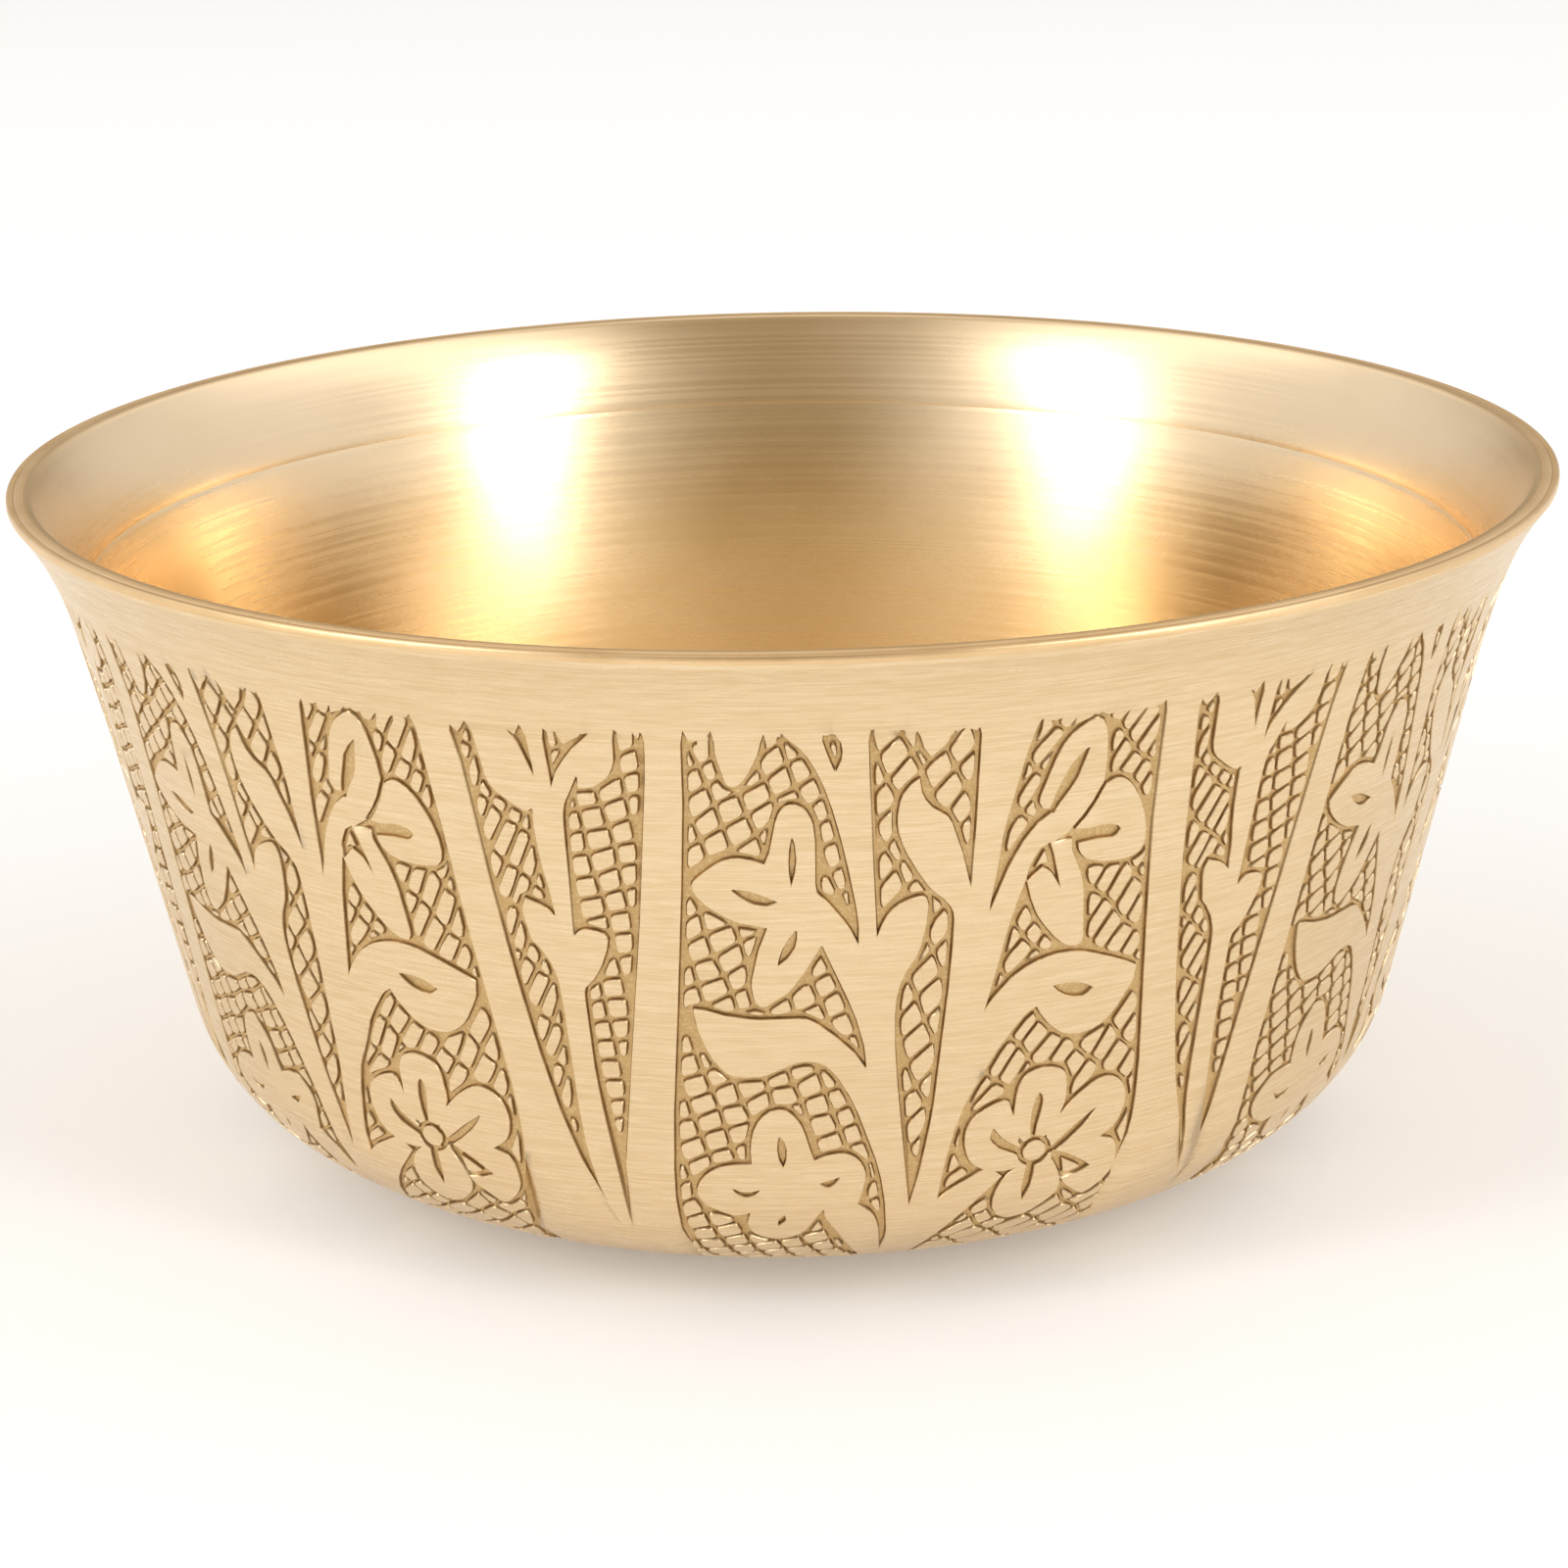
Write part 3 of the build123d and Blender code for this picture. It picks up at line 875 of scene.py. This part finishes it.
class Bench:
    """A material being put together, with short ways to add and join its nodes."""

    def __init__(self, name):
        self.material = bpy.data.materials.new(name)
        self.material.use_nodes = True
        self.nodes = self.material.node_tree.nodes
        self.links = self.material.node_tree.links
        self.nodes.clear()
        self.shader = self.add("ShaderNodeBsdfPrincipled")
        out = self.add("ShaderNodeOutputMaterial")
        self.links.new(self.shader.outputs["BSDF"], out.inputs["Surface"])
        self.place = self.add("ShaderNodeTexCoord").outputs["Object"]

    def add(self, kind, **settings):
        node = self.nodes.new(kind)
        for key, value in settings.items():
            setattr(node, key, value)
        return node

    def feed(self, socket, value):
        if isinstance(value, bpy.types.NodeSocket):
            self.links.new(value, socket)
        else:
            socket.default_value = value

    def sum(self, how, a, b=0.0, c=0.0):
        node = self.add("ShaderNodeMath", operation=how)
        for socket, value in zip(node.inputs, (a, b, c)):
            self.feed(socket, value)
        return node.outputs[0]

    def grain(self, size, turn=(0, 0, 0), detail=2.0, rough=0.5):
        """Cloudy noise; size is how long its marks are each way, in millimetres."""
        at = self.add("ShaderNodeMapping")
        self.feed(at.inputs["Vector"], self.place)
        at.inputs["Rotation"].default_value = [math.radians(t) for t in turn]
        at.inputs["Scale"].default_value = [1000.0 / s for s in size]
        noise = self.add("ShaderNodeTexNoise")
        self.feed(noise.inputs["Vector"], at.outputs[0])
        noise.inputs["Scale"].default_value = 1.0
        noise.inputs["Detail"].default_value = detail
        noise.inputs["Roughness"].default_value = rough
        return noise.outputs["Fac"]

    def rings(self, size, detail=3.0):
        """Fine rings as a lathe tool leaves them, following the wall and the floor alike."""
        split = self.add("ShaderNodeSeparateXYZ")
        self.feed(split.inputs[0], self.place)
        x, y, z = split.outputs
        squares = self.sum("ADD", self.sum("MULTIPLY", x, x), self.sum("MULTIPLY", y, y))
        across = self.sum("SQRT", squares)
        along = self.sum("ADD", across, z)
        noise = self.add("ShaderNodeTexNoise", noise_dimensions="1D")
        self.feed(noise.inputs["W"], along)
        noise.inputs["Scale"].default_value = 1000.0 / size
        noise.inputs["Detail"].default_value = detail
        return noise.outputs["Fac"], z

    def blend(self, share, a, b):
        node = self.add("ShaderNodeMix", data_type="RGBA")
        self.feed(node.inputs[0], share)
        self.feed(node.inputs[6], a if isinstance(a, bpy.types.NodeSocket) else (*a, 1))
        self.feed(node.inputs[7], b if isinstance(b, bpy.types.NodeSocket) else (*b, 1))
        return node.outputs[2]

    def between(self, value, low, high, to_low=0.0, to_high=1.0):
        node = self.add("ShaderNodeMapRange", interpolation_type="SMOOTHSTEP")
        self.feed(node.inputs[0], value)
        for k, v in enumerate((low, high, to_low, to_high)):
            node.inputs[k + 1].default_value = v
        return node.outputs[0]

    def marks(self, height, depth):
        """Bump marks this deep, in millimetres, on top of what the shader has."""
        bump = self.add("ShaderNodeBump")
        bump.inputs["Strength"].default_value = 1.0
        bump.inputs["Distance"].default_value = depth * MM
        self.feed(bump.inputs["Height"], height)
        before = self.shader.inputs["Normal"].links
        if before:
            self.links.new(before[0].from_socket, bump.inputs["Normal"])
        self.links.new(bump.outputs[0], self.shader.inputs["Normal"])

    def written(self, name):
        node = self.add("ShaderNodeAttribute", attribute_name=name)
        return node.outputs["Fac"]


BRASS = (0.79, 0.60, 0.365)
BRASS_PALE = (0.84, 0.66, 0.425)
BRASS_DARK = (0.70, 0.52, 0.285)
CUT_TAN = (0.60, 0.41, 0.185)
# Painted shade with some grime: the dark brown laid along the walls of the etched cuts.
CUT_WALL_SHADE_AND_GRIME = (0.20, 0.115, 0.04)
TURNED_GOLD = (0.78, 0.585, 0.335)
TURNED_PALE = (0.84, 0.645, 0.40)
TURNED_WORN = (0.72, 0.52, 0.27)
TURNED_LIP = (0.82, 0.64, 0.43)
LAND_GOLD = (0.72, 0.495, 0.255)
LAND_PALE = (0.81, 0.58, 0.32)
LAND_NICK = (0.50, 0.31, 0.14)
ROOM_WARM = (0.38, 0.31, 0.21)
ROOM_PALE = (0.93, 0.945, 0.99)
FLOOR_GREY = (0.80, 0.80, 0.80)

# The height, in metres, over which the turning marks inside grow stronger towards the lip.
LIP_MARKS = (0.036, 0.050)


def brushed_brass():
    """Satin brass, brushed round the bowl, with the etched cuts darkened and stippled, and painted
    shade with some grime along the cut walls.
    """
    b = Bench("brushed_brass")
    fine = b.grain((2.4, 2.4, 0.11), turn=(0.8, -0.6, 0), detail=2.0)
    long = b.grain((9.0, 9.0, 0.18), turn=(-1.2, 1.0, 0))
    cross = b.grain((3.5, 3.5, 0.14), turn=(6, 5, 0), detail=1.0)
    cloud = b.grain((16, 16, 10), detail=3.0)
    stipple = b.grain((0.20, 0.20, 0.20), detail=2.0)
    etched = b.written("etched")
    panel = b.written("panel")
    tone = b.sum("ADD", b.sum("MULTIPLY", long, 0.45), b.sum("MULTIPLY", fine, 0.55))
    gold = b.blend(b.between(tone, 0.36, 0.64), BRASS_DARK, BRASS_PALE)
    gold = b.blend(b.sum("MULTIPLY", cloud, 0.7), gold, BRASS)
    speck = b.between(stipple, 0.45, 0.7)
    gold = b.blend(b.sum("MULTIPLY", b.sum("MULTIPLY", panel, speck), 0.16), gold, CUT_TAN)
    floor = b.blend(speck, CUT_TAN, BRASS_DARK)
    # Painted shade, with some grime, along the walls of the cuts. It is darkest partway down each
    # wall, where the wall's share of the depth is between about a half and four fifths.
    cut_wall_shade_and_grime = b.sum("MULTIPLY", b.between(etched, 0.05, 0.45), b.between(etched, 1.0, 0.80))
    gold = b.blend(b.between(etched, 0.35, 1.0), gold, floor)
    gold = b.blend(b.sum("MULTIPLY", cut_wall_shade_and_grime, 0.75), gold, CUT_WALL_SHADE_AND_GRIME)
    b.feed(b.shader.inputs["Base Color"], gold)
    b.shader.inputs["Metallic"].default_value = 1.0
    rough = b.between(tone, 0.35, 0.65, 0.37, 0.26)
    rough = b.sum("ADD", rough, b.sum("MULTIPLY", etched, 0.22))
    rough = b.sum("ADD", rough, b.sum("MULTIPLY", b.sum("MULTIPLY", panel, stipple), 0.08))
    b.feed(b.shader.inputs["Roughness"], rough)
    plain = b.sum("SUBTRACT", 1.0, b.sum("MULTIPLY", etched, 0.8))
    b.marks(b.sum("MULTIPLY", fine, plain), 0.017)
    b.marks(b.sum("MULTIPLY", long, plain), 0.012)
    b.marks(b.sum("MULTIPLY", cross, plain), 0.006)
    b.marks(b.sum("MULTIPLY", stipple, b.sum("MAXIMUM", panel, etched)), 0.022)
    return b.material


def turned_brass():
    """The inside and the base: brass polished on the lathe, with its fine rings and soft wear."""
    b = Bench("turned_brass")
    rings, z = b.rings(0.7, detail=1.0)
    broad, _ = b.rings(2.4, detail=2.0)
    cloud = b.grain((22, 22, 14), detail=4.0)
    wear = b.grain((5, 5, 3), detail=5.0, rough=0.65)
    gold = b.blend(b.between(cloud, 0.3, 0.7), TURNED_GOLD, TURNED_PALE)
    gold = b.blend(b.sum("MULTIPLY", b.between(wear, 0.5, 0.75), 0.2), gold, TURNED_WORN)
    near_lip = b.between(z, *LIP_MARKS)
    gold = b.blend(b.sum("MULTIPLY", near_lip, 0.5), gold, TURNED_LIP)
    b.feed(b.shader.inputs["Base Color"], gold)
    b.shader.inputs["Metallic"].default_value = 1.0
    rough = b.between(cloud, 0.25, 0.75, 0.20, 0.27)
    rough = b.sum("ADD", rough, b.sum("MULTIPLY", b.between(rings, 0.35, 0.65), 0.05))
    strength = b.sum("ADD", b.sum("MULTIPLY", near_lip, 0.85), 0.12)
    rough = b.sum("ADD", rough, b.sum("MULTIPLY", near_lip, 0.05))
    b.feed(b.shader.inputs["Roughness"], rough)
    b.marks(b.sum("MULTIPLY", rings, strength), 0.007)
    b.marks(b.sum("MULTIPLY", broad, strength), 0.018)
    return b.material


def land_brass():
    """The flat top of the rim, faced on the lathe and handled bright."""
    b = Bench("land_brass")
    rings, _ = b.rings(0.25)
    nicks = b.grain((0.5, 0.5, 0.5), detail=3.0, rough=0.7)
    cloud = b.grain((7, 7, 7), detail=3.0)
    gold = b.blend(b.between(cloud, 0.3, 0.7), LAND_GOLD, LAND_PALE)
    gold = b.blend(b.between(nicks, 0.66, 0.74), gold, LAND_NICK)
    b.feed(b.shader.inputs["Base Color"], gold)
    b.shader.inputs["Metallic"].default_value = 1.0
    b.feed(b.shader.inputs["Roughness"], b.between(rings, 0.3, 0.7, 0.30, 0.42))
    b.marks(rings, 0.008)
    b.marks(nicks, 0.012)
    return b.material


# ---------------------------------------------------------------- the studio

# The camera, in metres and radians, from the middle of the rim.
CAMERA_AWAY = 0.27041
CAMERA_LIFT = 0.2172458
CAMERA_DOWN = 0.3155815
CAMERA_ROLL = -0.0179231
CAMERA_TURN = -0.0011333
CAMERA_LENS = 78.24
CAMERA_SENSOR = 36.0

# The floor and the lights, in metres, degrees from the front, and watts.
FLOOR_SIZE = 9
FLOOR_GAP = 0.00005
FLOOR_GLOW = 0.17
SIDE_BOX_AWAY = 0.95
SIDE_BOX_UP = 0.48
SIDE_BOX_SIZE = (0.21, 0.74)
SIDE_BOX_POWER = 3.9
SIDE_BOX_LEFT = 59
SIDE_BOX_RIGHT = 51
BACK_BOX_AT = (0, 1.0, 1.45)
BACK_BOX_SIZE = (2.0, 2.0)
BACK_BOX_POWER = 6.5
TOP_BOX_ASIDE = 1.15
TOP_BOX_BACK = 0.1
TOP_BOX_UP = 1.35
TOP_BOX_SIZE = (1.2, 1.6)
TOP_BOX_POWER = 4.3

# How far to either side the warm middle of the surroundings reaches: where its change to the
# pale sides starts, and where it ends.
ROOM_CHANGE = (0.15, 0.70)


def plain(name, colour, rough, glow=0.0):
    """An even, matt finish that may glow a little."""
    b = Bench(name)
    b.shader.inputs["Emission Color"].default_value = (1, 1, 1, 1)
    b.shader.inputs["Emission Strength"].default_value = glow
    b.shader.inputs["Base Color"].default_value = (*colour, 1)
    b.shader.inputs["Roughness"].default_value = rough
    return b.material


def softbox(name, place, aim, size, power):
    """A white rectangular light that faces the place it aims at."""
    light = bpy.data.lights.new(name, "AREA")
    light.shape = "RECTANGLE"
    light.size, light.size_y = size
    light.energy = power
    lamp = bpy.data.objects.new(name, light)
    bpy.context.scene.collection.objects.link(lamp)
    lamp.location = place
    lamp.rotation_euler = (Vector(aim) - Vector(place)).to_track_quat("-Z", "Y").to_euler()


def stand_camera(bowl_top):
    """The camera, just above the rim's height and turned down at the bowl."""
    down, turn = CAMERA_DOWN, CAMERA_TURN
    ahead = math.cos(turn) * math.cos(down)
    forward = Vector((math.sin(turn) * math.cos(down), ahead, -math.sin(down)))
    level = forward.cross(Vector((0, 0, 1))).normalized()
    upright = level.cross(forward)
    right = level * math.cos(CAMERA_ROLL) + upright * math.sin(CAMERA_ROLL)
    up = upright * math.cos(CAMERA_ROLL) - level * math.sin(CAMERA_ROLL)
    lens = bpy.data.cameras.new("camera")
    lens.lens, lens.sensor_width = CAMERA_LENS, CAMERA_SENSOR
    lens.clip_start, lens.clip_end = 0.01, 20
    camera = bpy.data.objects.new("camera", lens)
    bpy.context.scene.collection.objects.link(camera)
    turned_to = Matrix((right, up, -forward)).transposed().to_4x4()
    rise = CAMERA_AWAY * math.sin(CAMERA_LIFT)
    place = (0, -CAMERA_AWAY * math.cos(CAMERA_LIFT), bowl_top + rise)
    camera.matrix_world = Matrix.Translation(place) @ turned_to
    bpy.context.scene.camera = camera


def make_studio(low, high):
    """A pale floor, soft lights on both sides, behind and above, and quiet surroundings."""
    bpy.ops.mesh.primitive_plane_add(size=FLOOR_SIZE, location=(0, 0, low.z - FLOOR_GAP))
    floor = bpy.context.object
    floor.name = "floor"
    floor.data.materials.append(plain("pale_floor", FLOOR_GREY, 0.9, glow=FLOOR_GLOW))
    middle = (0, 0, high.z * 0.6)
    for side, azimuth in ((-1, SIDE_BOX_LEFT), (1, SIDE_BOX_RIGHT)):
        a = math.radians(azimuth)
        aside, ahead = side * SIDE_BOX_AWAY * math.sin(a), -SIDE_BOX_AWAY * math.cos(a)
        softbox("side_box", (aside, ahead, SIDE_BOX_UP), middle, SIDE_BOX_SIZE, SIDE_BOX_POWER)
    softbox("back_box", BACK_BOX_AT, (0, 0, 0), BACK_BOX_SIZE, BACK_BOX_POWER)
    for side in (-1, 1):
        place = (side * TOP_BOX_ASIDE, TOP_BOX_BACK, TOP_BOX_UP)
        softbox("top_box", place, (place[0], place[1], 0), TOP_BOX_SIZE, TOP_BOX_POWER)
    world = bpy.data.worlds.new("studio")
    bpy.context.scene.world = world
    world.use_nodes = True
    nodes, links = world.node_tree.nodes, world.node_tree.links
    way = nodes.new("ShaderNodeTexCoord")
    split = nodes.new("ShaderNodeSeparateXYZ")
    links.new(way.outputs["Generated"], split.inputs[0])
    either_side = nodes.new("ShaderNodeMath")
    either_side.operation = "ABSOLUTE"
    links.new(split.outputs["X"], either_side.inputs[0])
    share = nodes.new("ShaderNodeMapRange")
    share.interpolation_type = "SMOOTHSTEP"
    links.new(either_side.outputs[0], share.inputs[0])
    for k, v in enumerate((*ROOM_CHANGE, 0.0, 1.0)):
        share.inputs[k + 1].default_value = v
    air = nodes.new("ShaderNodeMix")
    air.data_type = "RGBA"
    links.new(share.outputs[0], air.inputs[0])
    air.inputs[6].default_value = (*ROOM_WARM, 1)
    air.inputs[7].default_value = (*ROOM_PALE, 1)
    links.new(air.outputs[2], nodes["Background"].inputs["Color"])
    bpy.context.scene.view_settings.view_transform = "Standard"


def main():
    low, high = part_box("bowl")
    bowl = make_bowl()
    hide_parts("bowl")
    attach(bowl, "root")
    stand_camera(high.z)
    make_studio(low, high)
    deselect()


main()
